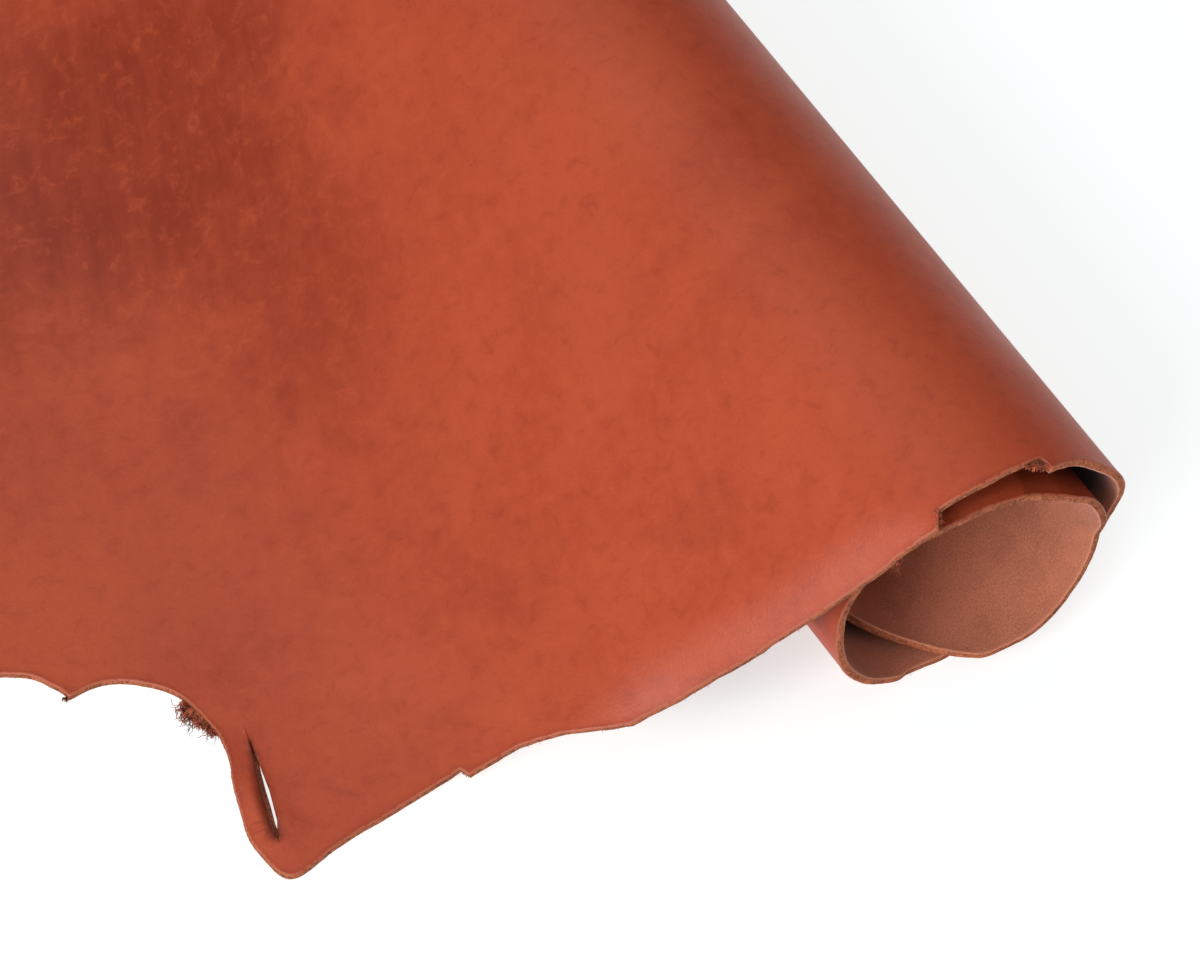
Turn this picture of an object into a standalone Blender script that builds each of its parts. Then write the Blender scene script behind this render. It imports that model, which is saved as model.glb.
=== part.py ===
"""A side of leather laid out grain side up, with its butt end rolled.

The hide is one cut piece. It is drawn flat, in millimetres, as it comes off the cutting table:
u runs along the backbone, from 0 at the crest of the roll towards the neck (negative into the
roll), and v runs across the hide, from the belly edge towards the backbone. The flat piece gets
its thickness and is then laid along the cross-section: flat on the table, up a slope, over the
crest, once round the outer turn and on into the inner turn, where the butt end hides.
"""

import math

import bmesh
import bpy
from mathutils import Vector

MM = 0.001

# Driving sizes, in millimetres and degrees
THICKNESS = 3.4
ROLL_RADIUS = 60.0  # outside of the outer turn
INNER_TURN_RADIUS = 48.3  # middle of the sheet in the inner turn
LAYER_GAP = 0.5  # between the inner turn and the turn it lies in
ROLL_LEAN = 0.5  # the inner turn's centre, right of the crest
LEFT_REACH = 54.3  # from the crest to the middle of the sheet on the outer turn's left side
SLOPE_ANGLE = 42.0  # the sheet's fall from the crest to the table
SLOPE_FOOT_RADIUS = 180.0  # where it flattens out onto the table
INNER_TURN_ANGLE = 280.0  # how far the butt end runs round the inner turn
BACKBONE_V = 950.0  # the straight edge along the backbone
FACET_ANGLE = 6.0  # of the round stretches
CELL = 55.0  # of the flat part

MIDDLE = THICKNESS / 2
TURN_RADIUS = ROLL_RADIUS - MIDDLE
CREST_Z = 2 * TURN_RADIUS + MIDDLE

# The outer turn passes under the inner one and comes up its left side, as two quarter turns
INNER_TOP_Z = THICKNESS + LAYER_GAP + MIDDLE + 2 * INNER_TURN_RADIUS
SHOULDER_RADIUS = LEFT_REACH + ROLL_LEAN
HEEL_RADIUS = INNER_TOP_Z - MIDDLE - SHOULDER_RADIUS
FOOT_LENGTH = LEFT_REACH - HEEL_RADIUS

# The cross-section on each side of the crest: (stretch, radius, turn, length). A turn is in
# degrees, towards the roll's centre; a straight stretch has no radius and no turn.
ROUNDED_DROP = (TURN_RADIUS + SLOPE_FOOT_RADIUS) * (1 - math.cos(math.radians(SLOPE_ANGLE)))
SLOPE_DROP = CREST_Z - MIDDLE - ROUNDED_DROP
SLOPE = (
    ("crest", TURN_RADIUS, SLOPE_ANGLE, 0),
    ("fall", 0, 0, SLOPE_DROP / math.sin(math.radians(SLOPE_ANGLE))),
    ("slope_foot", SLOPE_FOOT_RADIUS, -SLOPE_ANGLE, 0),
    ("table", 0, 0, 2000),
)
WOUND = (
    ("right_side", TURN_RADIUS, 180, 0),
    ("foot", 0, 0, FOOT_LENGTH),
    ("heel", HEEL_RADIUS, 90, 0),
    ("shoulder", SHOULDER_RADIUS, 90, 0),
    ("inner_turn", INNER_TURN_RADIUS, INNER_TURN_ANGLE, 0),
)

# The outline, walked from the butt corner along the belly edge to the neck: (u, v, point).
# A "round" point lies on a smooth curve, and a "sharp" one is a corner.
BELLY_EDGE = (
    (-586, 72, "sharp"),
    (-566, 50, "round"),
    (-537, 30, "round"),
    (-519, 16.5, "round"),
    (-506, 5.5, "round"),
    (-498, 0.2, "round"),
    (-488, -2, "round"),
    (-475, -3.4, "round"),
    (-442, -1.8, "round"),
    (-430, -1.4, "round"),
    (-418, -4.4, "round"),
    (-403, -5.2, "round"),
    (-388, -4.4, "round"),
    (-372, -0.8, "round"),
    (-350, 1.6, "round"),
    (-330, 3.8, "round"),
    (-312, 6.8, "round"),
    (-294, 10.2, "round"),
    (-276, 10.6, "round"),
    (-259, 9, "round"),
    (-240, 8.4, "round"),
    (-224, 8, "round"),
    (-212, 8.6, "round"),
    (-200, 10.2, "round"),
    (-150, 7.6, "round"),
    (-112, 4.8, "round"),
    (-100, 2.8, "round"),
    (-90, 0.6, "round"),
    (-80, -1.8, "round"),
    (-70, -3.4, "round"),
    (-60, -4.6, "round"),
    (-50, -5.2, "round"),
    (-38, -3.5, "round"),
    (-22, -5, "sharp"),
    (-21, 0.5, "sharp"),
    (2, 0, "round"),
    (21, 2, "sharp"),
    (25.5, -3, "sharp"),
    (41, 0.5, "round"),
    (64, 6, "round"),
    (87, 11.8, "round"),
    (113, 19.3, "round"),
    (139, 27.7, "round"),
    (160, 33.4, "sharp"),
    (168, 38.8, "round"),
    (181, 47, "round"),
    (196, 53.4, "round"),
    (216, 55.6, "sharp"),
    (217.5, 59.8, "sharp"),
    (232, 59.8, "round"),
    (256, 59.6, "round"),
    (270, 58.4, "round"),
    (284, 56, "round"),
)
FORELEG_EDGE = (
    (291.4, 56.8, "round"),
    (294.4, 66, "round"),
    (294.6, 79, "round"),
    (289, 98, "round"),
    (283.2, 113, "round"),
    (282, 126, "round"),
    (285.8, 144.4, "round"),
    (293.8, 154.8, "round"),
    (306, 162.6, "round"),
    (319, 163.6, "sharp"),
    (321, 170.6, "round"),
    (329, 181.8, "round"),
    (345, 190, "round"),
)
NECK_EDGE = (
    (400, 214, "round"),
    (520, 258, "round"),
    (680, 270, "round"),
    (860, 262, "round"),
    (1030, 276, "round"),
    (1160, 318, "round"),
    (1262, 410, "round"),
    (1310, 540, "round"),
    (1322, 700, "round"),
    (1308, 850, "round"),
    (1270, BACKBONE_V, "sharp"),
)
BUTT_END = ((-586, BACKBONE_V, "sharp"),)
OUTLINE = BELLY_EDGE + FORELEG_EDGE + NECK_EDGE + BUTT_END

# A knife slit near the foreleg's point, its lips pulled apart: (u, v) round the hole
SLIT = (
    (273.5, 113.8),
    (275.4, 104.5),
    (278.8, 90.6),
    (283, 78.2),
    (284.6, 75.5),
    (286.6, 71.3),
    (286, 75),
    (285.2, 78.8),
    (283, 85.2),
    (280.9, 92.4),
    (278.5, 99.5),
    (275.7, 106.9),
)

# Where the sheet lifts off the table: (rise, u, v, half length, half width, height)
RISES = (
    ("foreleg", 420, 330, 120, 130, 4),
    ("shoulder", 470, 660, 170, 190, 7),
    ("neck", 1010, 480, 190, 150, 8),
    ("crop", 880, 830, 150, 100, 5),
)

# Where the belly edge curls under, on its flesh side: (curl, start u, end u, ramp, width, drop)
EDGE_CURLS = (
    ("slope", 6, 190, 50, 22, 6),
    ("inner_top", -402, -312, 30, 16, 4),
)


class Profile:
    """The cross-section of the laid and rolled sheet, along the middle of its thickness."""

    def __init__(self, stretches, heading, side):
        self.side = side
        self.starts = []
        x, z, walked = 0.0, CREST_Z, 0.0
        for _name, radius, turn, length in stretches:
            bend = -side * math.radians(turn)
            length = length or radius * abs(bend)
            self.starts.append((walked, x, z, heading, bend / length))
            x, z, heading = self.step(x, z, heading, bend / length, length)
            walked += length
        self.length = walked

    @staticmethod
    def step(x, z, heading, curvature, length):
        """Walk this far along a straight stretch or an arc."""
        if curvature == 0:
            return x + length * math.cos(heading), z + length * math.sin(heading), heading
        turned = heading + curvature * length
        x += (math.sin(turned) - math.sin(heading)) / curvature
        z -= (math.cos(turned) - math.cos(heading)) / curvature
        return x, z, turned

    def at(self, walked):
        """Return x, z and the grain side's normal at this distance from the crest."""
        start, x, z, heading, curvature = max(row for row in self.starts if row[0] <= walked)
        x, z, heading = self.step(x, z, heading, curvature, walked - start)
        return x, z, -self.side * math.sin(heading), self.side * math.cos(heading)


TOWARDS_NECK = Profile(SLOPE, math.pi, -1)
INTO_ROLL = Profile(WOUND, 0.0, 1)


def smooth_step(value):
    value = min(max(value, 0.0), 1.0)
    return value * value * (3 - 2 * value)


def rise(u, v):
    """Return how far the sheet stands off its cross-section here, on its grain side."""
    height = 0.0
    for _name, centre_u, centre_v, half_u, half_v, top in RISES:
        away = math.hypot((u - centre_u) / half_u, (v - centre_v) / half_v)
        height += top * smooth_step(1 - away)
    for _name, start, end, ramp, width, drop in EDGE_CURLS:
        along = smooth_step((u - start) / ramp) * smooth_step((end - u) / ramp)
        inside = max(0.0, 1 - (v - belly_v(u)) / width) if along > 0 else 0.0
        height -= drop * along * inside * inside
    return height


def belly_v(u):
    """Return the belly edge's v at this u, read straight between the outline's points."""
    for (u0, v0, _a), (u1, v1, _b) in zip(BELLY_EDGE, BELLY_EDGE[1:]):
        if u0 <= u <= u1:
            return v0 + (v1 - v0) * (u - u0) / (u1 - u0)
    return BELLY_EDGE[-1][1]


def laid(u, v, w):
    """Carry a point of the flat hide to its place on the table, w off the middle of the sheet."""
    x, z, normal_x, normal_z = TOWARDS_NECK.at(u) if u >= 0 else INTO_ROLL.at(-u)
    w += rise(u, v)
    return Vector((x + normal_x * w, v, z + normal_z * w))


def drawn(rows, spacing):
    """Return the outline's points, with its round stretches filled in at this spacing."""
    points = []
    count = len(rows)
    for i, (u, v, kind) in enumerate(rows):
        start, end = Vector((u, v)), Vector(rows[(i + 1) % count][:2])
        before = Vector(rows[i - 1][:2]) if kind == "round" else start
        after = end if rows[(i + 1) % count][2] == "sharp" else Vector(rows[(i + 2) % count][:2])
        steps = max(1, round((end - start).length / spacing))
        if kind == "sharp" and rows[(i + 1) % count][2] == "sharp":
            steps = 1
        for k in range(steps):
            t = k / steps
            lead_in = (end - before) / 2
            lead_out = (after - start) / 2
            points.append(
                start * (2 * t**3 - 3 * t**2 + 1)
                + end * (3 * t**2 - 2 * t**3)
                + lead_in * (t**3 - 2 * t**2 + t)
                + lead_out * (t**3 - t**2)
            )
    return points


def stations():
    """Return the u of every line across the hide where the sheet bends."""
    lines = {0.0}
    for stretches, side in ((SLOPE[:-1], 1), (WOUND, -1)):
        walked = 0.0
        for name, radius, turn, length in stretches:
            length = length or radius * math.radians(abs(turn))
            steps = math.ceil(abs(turn) / FACET_ANGLE) if radius > 0 else 1
            if name == "fall":
                steps = 3
            lines.update(side * (walked + length * (k + 1) / steps) for k in range(steps))
            walked += length
        if side > 0:
            steps = round((max(row[0] for row in OUTLINE) - walked) / CELL)
            lines.update(walked + CELL * (k + 1) for k in range(steps))
    return sorted(lines)


def close_loop(bm, points):
    verts = [bm.verts.new((u, v, 0)) for u, v in points]
    return [bm.edges.new(pair) for pair in zip(verts, verts[1:] + verts[:1])]


def cut_lines(bm, axis, lines, low=-math.inf, high=math.inf):
    """Cut the flat hide along lines square to this axis, between two values of u."""
    normal = Vector((1, 0, 0)) if axis == 0 else Vector((0, 1, 0))
    for line in lines:
        faces = [face for face in bm.faces if low < face.calc_center_median().x < high]
        geom = list({part for face in faces for part in (*face.verts, *face.edges)}) + faces
        bmesh.ops.bisect_plane(bm, geom=geom, dist=1e-4, plane_co=normal * line, plane_no=normal)


def drop_fill_edges(bm, us, vs):
    """Dissolve the edges that only filled the outline, and keep those on the lines."""

    def on_line(edge):
        a, b = (vert.co for vert in edge.verts)
        same_u = abs(a.x - b.x) < 1e-3 and any(abs(a.x - u) < 1e-3 for u in us)
        same_v = abs(a.y - b.y) < 1e-3 and any(abs(a.y - v) < 1e-3 for v in vs)
        return same_u or same_v

    inner = [edge for edge in bm.edges if not edge.is_boundary and not on_line(edge)]
    bmesh.ops.dissolve_edges(bm, edges=inner, use_verts=False)
    passed = [vert for vert in bm.verts if len(vert.link_edges) == 2 and not vert.is_boundary]
    bmesh.ops.dissolve_verts(bm, verts=passed)


def make_hide():
    bm = bmesh.new()
    edges = close_loop(bm, drawn(OUTLINE, 9.0)) + close_loop(bm, SLIT)
    bmesh.ops.triangle_fill(bm, edges=edges, use_beauty=False, use_dissolve=False)
    drop_fill_edges(bm, (), ())

    bends = stations()
    cut_lines(bm, 0, bends)
    drop_fill_edges(bm, bends, ())

    rows = [CELL * k for k in range(1, round(BACKBONE_V / CELL))]
    cut_lines(bm, 1, rows, 0, math.inf)
    for _name, start, end, _ramp, width, _drop in EDGE_CURLS:
        edge = [belly_v(u) for u in bends if start < u < end]
        count = 3 + math.ceil(2 * (max(edge) - min(edge)) / width)
        curl_rows = [min(edge) + width / 2 * k for k in range(1, count)]
        cut_lines(bm, 1, curl_rows, start, end)
        rows += curl_rows
    drop_fill_edges(bm, bends, rows)

    bmesh.ops.translate(bm, verts=bm.verts, vec=(0, 0, -MIDDLE))
    flesh = list(bm.faces)
    extruded = bmesh.ops.extrude_face_region(bm, geom=flesh, use_keep_orig=True)["geom"]
    grain = [part for part in extruded if isinstance(part, bmesh.types.BMVert)]
    bmesh.ops.translate(bm, verts=grain, vec=(0, 0, THICKNESS))

    for vert in bm.verts:
        vert.co = laid(*vert.co) * MM
    bmesh.ops.recalc_face_normals(bm, faces=bm.faces)
    middle = [(min(v.co[i] for v in bm.verts) + max(v.co[i] for v in bm.verts)) / 2 for i in (0, 1)]
    bmesh.ops.translate(bm, verts=bm.verts, vec=(-middle[0], -middle[1], 0))
    bmesh.ops.triangulate(bm, faces=bm.faces)

    mesh = bpy.data.meshes.new("leather_side")
    bm.to_mesh(mesh)
    bm.free()
    mesh.shade_smooth()
    mesh.set_sharp_from_angle(angle=math.radians(30))
    return mesh


def leather():
    """Return tan leather with a waxed grain side."""
    material = bpy.data.materials.new("leather")
    material.use_nodes = True
    shader = material.node_tree.nodes["Principled BSDF"]
    shader.inputs["Base Color"].default_value = (0.46, 0.085, 0.036, 1)
    shader.inputs["Roughness"].default_value = 0.5
    shader.inputs["Metallic"].default_value = 0.0
    return material


def main():
    for obj in list(bpy.data.objects):
        bpy.data.objects.remove(obj, do_unlink=True)
    hide = bpy.data.objects.new("leather_side", make_hide())
    hide.data.materials.append(leather())
    bpy.context.scene.collection.objects.link(hide)


main()
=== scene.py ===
import math
import random

import bmesh
import bpy
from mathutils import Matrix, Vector, kdtree, noise


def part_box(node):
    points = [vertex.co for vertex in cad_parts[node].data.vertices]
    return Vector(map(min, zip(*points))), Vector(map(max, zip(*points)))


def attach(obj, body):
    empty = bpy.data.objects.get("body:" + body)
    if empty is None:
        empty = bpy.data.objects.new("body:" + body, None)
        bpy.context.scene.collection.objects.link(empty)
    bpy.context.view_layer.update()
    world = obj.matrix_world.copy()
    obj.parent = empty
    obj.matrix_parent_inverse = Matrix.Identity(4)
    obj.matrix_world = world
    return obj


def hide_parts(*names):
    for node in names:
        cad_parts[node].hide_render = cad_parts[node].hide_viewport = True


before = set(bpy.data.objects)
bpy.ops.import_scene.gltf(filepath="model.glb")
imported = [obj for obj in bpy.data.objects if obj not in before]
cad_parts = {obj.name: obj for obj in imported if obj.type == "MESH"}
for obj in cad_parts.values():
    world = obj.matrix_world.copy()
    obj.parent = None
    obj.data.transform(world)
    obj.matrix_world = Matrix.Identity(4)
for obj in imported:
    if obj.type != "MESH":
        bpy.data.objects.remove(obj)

bl_info = {
    "name": "Rolled Leather Side",
    "version": (1, 0, 0),
    "blender": (4, 5, 0),
    "location": "View3D > Sidebar > Leather",
    "description": "Lays out a side of tan leather with its butt end rolled",
    "category": "Object",
}

NODE = "leather_side"
BODY = "root"
MM = 0.001

# The hide is drawn flat, in millimetres: u runs along the backbone, from 0 at the crest of the
# roll towards the neck (negative into the roll), and v runs from the belly edge to the backbone.

# The outline, from the butt corner along the belly edge to the neck: (u, v, point).
# A "round" point lies on a smooth curve, and a "sharp" one is a corner.
BELLY_EDGE = (
    (-586, 72, "sharp"),
    (-566, 50, "round"),
    (-537, 30, "round"),
    (-519, 16.5, "round"),
    (-506, 5.5, "round"),
    (-498, 0.2, "round"),
    (-488, -2, "round"),
    (-475, -3.4, "round"),
    (-442, -1.8, "round"),
    (-430, -1.4, "round"),
    (-418, -4.4, "round"),
    (-403, -5.2, "round"),
    (-388, -4.4, "round"),
    (-372, -0.8, "round"),
    (-350, 1.6, "round"),
    (-330, 3.8, "round"),
    (-312, 6.8, "round"),
    (-294, 10.2, "round"),
    (-276, 10.6, "round"),
    (-259, 9, "round"),
    (-240, 8.4, "round"),
    (-224, 8, "round"),
    (-212, 8.6, "round"),
    (-200, 10.2, "round"),
    (-150, 7.6, "round"),
    (-112, 4.8, "round"),
    (-100, 2.8, "round"),
    (-90, 0.6, "round"),
    (-80, -1.8, "round"),
    (-70, -3.4, "round"),
    (-60, -4.6, "round"),
    (-50, -5.2, "round"),
    (-38, -3.5, "round"),
    (-22, -5, "sharp"),
    (-21, 0.5, "sharp"),
    (2, 0, "round"),
    (21, 2, "sharp"),
    (25.5, -3, "sharp"),
    (41, 0.5, "round"),
    (64, 6, "round"),
    (87, 11.8, "round"),
    (113, 19.3, "round"),
    (139, 27.7, "round"),
    (160, 33.4, "sharp"),
    (168, 38.8, "round"),
    (181, 47, "round"),
    (196, 53.4, "round"),
    (216, 55.6, "sharp"),
    (217.5, 59.8, "sharp"),
    (232, 59.8, "round"),
    (256, 59.6, "round"),
    (270, 58.4, "round"),
    (284, 56, "round"),
)
FORELEG_EDGE = (
    (291.4, 56.8, "round"),
    (294.4, 66, "round"),
    (294.6, 79, "round"),
    (289, 98, "round"),
    (283.2, 113, "round"),
    (282, 126, "round"),
    (285.8, 144.4, "round"),
    (293.8, 154.8, "round"),
    (306, 162.6, "round"),
    (319, 163.6, "sharp"),
    (321, 170.6, "round"),
    (329, 181.8, "round"),
    (345, 190, "round"),
)
BACKBONE_V = 950
NECK_EDGE = (
    (400, 214, "round"),
    (520, 258, "round"),
    (680, 270, "round"),
    (860, 262, "round"),
    (1030, 276, "round"),
    (1160, 318, "round"),
    (1262, 410, "round"),
    (1310, 540, "round"),
    (1322, 700, "round"),
    (1308, 850, "round"),
    (1270, BACKBONE_V, "sharp"),
)
BUTT_END = ((-586, BACKBONE_V, "sharp"),)
OUTLINE = BELLY_EDGE + FORELEG_EDGE + NECK_EDGE + BUTT_END

# A knife slit near the foreleg's point, its lips pulled apart: (u, v) round the hole
SLIT = (
    (273.5, 113.8),
    (275.4, 104.5),
    (278.8, 90.6),
    (283, 78.2),
    (284.6, 75.5),
    (286.6, 71.3),
    (286, 75),
    (285.2, 78.8),
    (283, 85.2),
    (280.9, 92.4),
    (278.5, 99.5),
    (275.7, 106.9),
)

# Where the sheet lifts off the table: (rise, u, v, half length, half width, height)
RISES = (
    ("slit_lips", 287, 91, 16, 40, 2.8),
    ("foreleg", 420, 330, 120, 130, 4),
    ("shoulder", 470, 660, 170, 190, 7),
    ("neck", 1010, 480, 190, 150, 8),
    ("crop", 880, 830, 150, 100, 5),
)

# Where the belly edge curls under, on its flesh side: (curl, start u, end u, ramp, width, drop)
EDGE_CURLS = (
    ("slope", 6, 190, 50, 22, 6),
    ("inner_top", -402, -312, 30, 16, 4),
)

# Where the knife slit's outer lip turns down: (u, v) along the lip
SLIT_LIP = ((286.4, 73.5), (285.2, 78.8), (283, 85.2), (280.9, 92.4), (278.5, 99.5), (273.9, 112.6))
LIP_WIDTH, LIP_DROP, LIP_TAPER = 4.6, 2.6, 26.0
SLIT_LEAN, SLIT_REACH = 2.0, 6.0  # how far the slanting knife's cut leans, and how near the slit that is

# Soft creases in the grain side, troughs where the depth is positive and ridges where it isn't:
# (crease, u, v, u, v, half width, depth)
CREASES = (
    ("pucker", 286.4, 79.8, 292.0, 82.2, 1.3, 0.5),
    ("pucker", 286.8, 77.6, 293.0, 78.2, 1.3, 0.8),
    ("pucker", 287.0, 75.0, 291.8, 73.0, 1.3, 0.6),
    ("inner_rim", -337, 4.6, -372, 3.2, 1.6, -0.5),
    ("inner_rim", -345, 8.5, -380, 7.4, 2.2, 0.35),
    ("belly", 150, 50, 206, 62, 5.0, 0.35),
    ("belly", 226, 72, 262, 96, 4.0, -0.3),
    ("shank", 262, 66, 284, 88, 5.0, 0.35),
    ("slope_fold", 96, 34, 158, 62, 9.0, -0.5),
    ("neck", 640, 420, 700, 900, 22.0, -1.0),
    ("neck", 760, 380, 800, 880, 18.0, 0.9),
    ("neck", 905, 400, 960, 860, 24.0, -1.2),
    ("shoulder", 540, 330, 590, 640, 16.0, 0.8),
)

# Where fibres were torn out of the cut, from one place on the edge to another:
# (tear, u, v, u, v, strands, heading, length, strand radius, height). The heading is in degrees
# from the neck's direction, the length and radius in millimetres, and the height in thicknesses.
TEARS = (
    ("armpit_long", 284.6, 140.4, 283.6, 135.5, 200, -58, 10.5, 0.19, -0.3),
    ("armpit_middle", 284.0, 137.6, 282.8, 130.0, 230, -58, 8.2, 0.21, -0.3),
    ("armpit_short", 283.2, 131.5, 281.9, 123.8, 190, -58, 5.4, 0.21, -0.25),
    ("armpit_under", 284.6, 141.0, 282.2, 125.5, 200, -72, 3.4, 0.26, -0.45),
    ("armpit_tail", 282.2, 126.0, 281.9, 124.0, 12, -30, 10.0, 0.17, -0.4),
    ("cusp", 321.0, 165.2, 318.2, 163.0, 24, -62, 2.4, 0.14, -0.2),
    ("crest_step", 21.2, 1.6, 25.2, -3.0, 90, -128, 1.9, 0.34, -0.1),
    ("crest_step_lip", 22.0, 2.0, 25.4, -2.6, 46, -160, 2.4, 0.3, 0.3),
    ("crest_tab", -21.6, -4.4, -14.4, 0.3, 90, -75, 1.8, 0.3, -0.2),
    ("crest_tab_lip", -21.6, -4.2, -17.0, -1.2, 60, -30, 2.6, 0.32, 0.2),
    ("under_slope", 50.0, 3.4, 42.0, 1.0, 24, -70, 4.4, 0.13, -0.45),
    ("under_crest", 70.0, 7.8, 66.0, 6.8, 8, -85, 2.6, 0.12, -0.4),
    ("belly_step", 216.2, 56.2, 217.6, 59.2, 10, -120, 1.4, 0.14, -0.2),
    ("inner_tail", -498.0, 2.0, -524.0, 21.0, 80, -100, 1.6, 0.2, -0.1),
    ("inner_low", -478.0, -2.6, -490.0, -1.0, 30, -100, 1.3, 0.18, 0.0),
    ("outer_tail", -204.0, 10.0, -214.0, 8.8, 30, -95, 1.5, 0.16, -0.2),
)

# Broad darker and lighter patches on the grain side: (patch, u, v, half u, half v, turn in degrees, tone,
# strength)
PATCHES = (
    ("dark_shoulder", 168, 344, 80, 62, 20, "dark", 0.84),
    ("dark_neck", 262, 400, 130, 90, -10, "dark", 0.6),
    ("dark_middle", 154, 254, 52, 32, 60, "dark", 0.50),
    ("dark_low", 205, 232, 44, 26, 20, "dark", 0.20),
    ("light_crest", 42, 222, 50, 34, 70, "light", 0.40),
    ("light_top", 8, 212, 34, 22, 80, "light", 0.40),
    ("light_middle", 80, 150, 40, 18, 40, "light", 0.55),
    ("light_belly", 130, 176, 36, 18, 30, "light", 0.40),
    ("light_streak", 25, 138, 62, 8, 12, "light", 0.40),
    ("light_right", 20, 60, 46, 60, 10, "light", 0.40),
    ("light_foreleg", 296, 200, 60, 40, 0, "light", 0.45),
)

# The nap of short fibres along the cut edge: (stretch, start u, end u, strands a millimetre)
NAP = (
    ("butt", -640, -560, 0.25),
    ("roll", -560, 30, 0.8),
    ("slope", 30, 160, 0.8),
    ("belly", 160, 350, 0.9),
    ("neck", 350, 1400, 0.25),
)

# Where a painted shadow dims the table under the slope, from the roll's foot, and the patch's half size
SLOPE_SHADOW, SLOPE_SHADOW_HALF = (-57, 49), (44, 20)

# How dark the painted shade gets deep in the roll: on the shoulder's flesh, the butt end's flesh and
# the slit's lip. Between the turns it starts this far outside the outer turn's edge.
SHADE_SHOULDER, SHADE_BUTT, SHADE_LIP, SHADE_LEAD = 0.4, 0.5, 0.85, 7
SHADE_COLOUR = (0.012, 0.004, 0.002)

# How a strand wanders: (curl in radians a step, steps). Strands come in clumps of about CLUMP.
TUFT_CURL, NAP_CURL, CLUMP = (0.62, 10), (0.5, 3), 15
STRAIGHTENING = 0.75  # the share of its curl that a strand keeps from one step to the next
TIP = 0.45  # a strand's radius at its tip, as a share of its root's

MATERIALS = ("grain_side", "flesh_side", "cut_edge")

# The rounded arris, from the cut inwards: (width, drop)
ARRIS = ((0.35, 0.55), (0.6, 0.14))
WALL_ROWS = 3
TABLE_GAP = 0.02  # the least height of the hide above the table
WANDER_SEED = 4  # of the cut's waver and its torn wall
SHARP_ANGLE = math.radians(75)

# Lines along the hide, between two values of v, cut where u is between two more:
# (start v, end v, step, low u, high u)
CROSS_LINES = (
    (-10, 200, 7, 0, 420),
    (200, 950, 14, 0, 420),
    (0, 950, 24, -700, 0),
    (-4, 44, 4, -600, 30),
    (200, 950, 16, 420, 1400),
    (62, 124, 2.4, 262, 300),
    (71, 84, 0.8, 283, 295),
    (-6, 62, 3.0, 4, 205),
    (-6, 14, 2.5, -400, -310),
)


def number(label, text, default, **kind):
    """Return a number the panel shows."""
    return bpy.props.FloatProperty(name=label, description=text, default=default, **kind)


def swatch(label, text, default):
    """Return a colour the panel shows."""
    return bpy.props.FloatVectorProperty(
        name=label, description=text, default=default, subtype="COLOR", min=0, max=1
    )


class HideSizes(bpy.types.PropertyGroup):
    thickness: number("Thickness", "Thickness of the leather", 0.0034, subtype="DISTANCE")
    roll_radius: number("Roll Radius", "Outside of the outer turn", 0.060, subtype="DISTANCE")
    inner_radius: number("Inner Turn", "Middle of the sheet in the inner turn", 0.0483, subtype="DISTANCE")
    layer_gap: number("Layer Gap", "Between the two turns at the foot", 0.0005, subtype="DISTANCE")
    roll_lean: number("Roll Lean", "Inner turn's centre, right of the crest", 0.0005, subtype="DISTANCE")
    left_reach: number("Left Reach", "Crest to the outer turn's left side", 0.0543, subtype="DISTANCE")
    slope_angle: number("Slope", "Fall from the crest to the table", math.radians(42), subtype="ANGLE")
    slope_foot: number("Slope Foot", "Radius where the slope meets the table", 0.180, subtype="DISTANCE")
    inner_turn: number(
        "Inner Turn Angle", "How far the butt end runs round", math.radians(280), subtype="ANGLE"
    )


class HideColours(bpy.types.PropertyGroup):
    tan: swatch("Tan", "Grain side", (0.425, 0.060, 0.021))
    dark: swatch("Dark Clouds", "Darker clouds of the grain side", (0.232, 0.024, 0.007))
    light: swatch("Light Clouds", "Lighter clouds of the grain side", (0.50, 0.082, 0.028))
    flesh: swatch("Flesh", "Napped flesh side", (0.52, 0.175, 0.098))
    cut: swatch("Cut Edge", "Raw cut edge", (0.40, 0.116, 0.055))
    # The pale arris colour: rubbed wear along the flesh side's arris, and a painted highlight along the grain
    # side's rounded arris.
    pale_arris: swatch("Worn Arris", "Pale rubbed line along the flesh side's arris", (0.56, 0.21, 0.12))
    dark_fibre: swatch("Torn Fibre", "Loose torn fibres", (0.40, 0.098, 0.050))


class StudioSettings(bpy.types.PropertyGroup):
    elevation: number("Elevation", "Camera above the table", math.radians(55.1), subtype="ANGLE")
    azimuth: number("Azimuth", "Camera's turn from the roll's length", math.radians(32.5), subtype="ANGLE")
    distance: number("Distance", "Camera to the table", 2.45, subtype="DISTANCE")
    lens: number("Lens", "Focal length in millimetres", 200.0)
    key: number("Key Light", "Power of the key light", 46.0, unit="POWER")
    fill: number("Top Light", "Power of the top light", 17.0, unit="POWER")
    ambient: number("Ambient", "Strength of the white surround", 0.30)


# ---------------------------------------------------------------- how the hide lies


class Profile:
    """The cross-section on one side of the crest, along the middle of the sheet, in millimetres."""

    def __init__(self, stretches, crest_z, heading, side):
        self.side = side
        self.starts = []
        x, z, walked = 0.0, crest_z, 0.0
        for _name, radius, turn, length in stretches:
            bend = -side * turn
            length = length or radius * abs(bend)
            self.starts.append((walked, x, z, heading, bend / length))
            x, z, heading = self.step(x, z, heading, bend / length, length)
            walked += length

    @staticmethod
    def step(x, z, heading, curvature, length):
        """Walk this far along a straight stretch or an arc."""
        if curvature == 0:
            return x + length * math.cos(heading), z + length * math.sin(heading), heading
        turned = heading + curvature * length
        x += (math.sin(turned) - math.sin(heading)) / curvature
        z -= (math.cos(turned) - math.cos(heading)) / curvature
        return x, z, turned

    def at(self, walked):
        """Return x, z and the grain side's normal at this distance from the crest."""
        start, x, z, heading, curvature = max(row for row in self.starts if row[0] <= walked)
        x, z, heading = self.step(x, z, heading, curvature, walked - start)
        return x, z, -self.side * math.sin(heading), self.side * math.cos(heading)


def smooth_step(value):
    value = min(max(value, 0.0), 1.0)
    return value * value * (3 - 2 * value)


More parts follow.
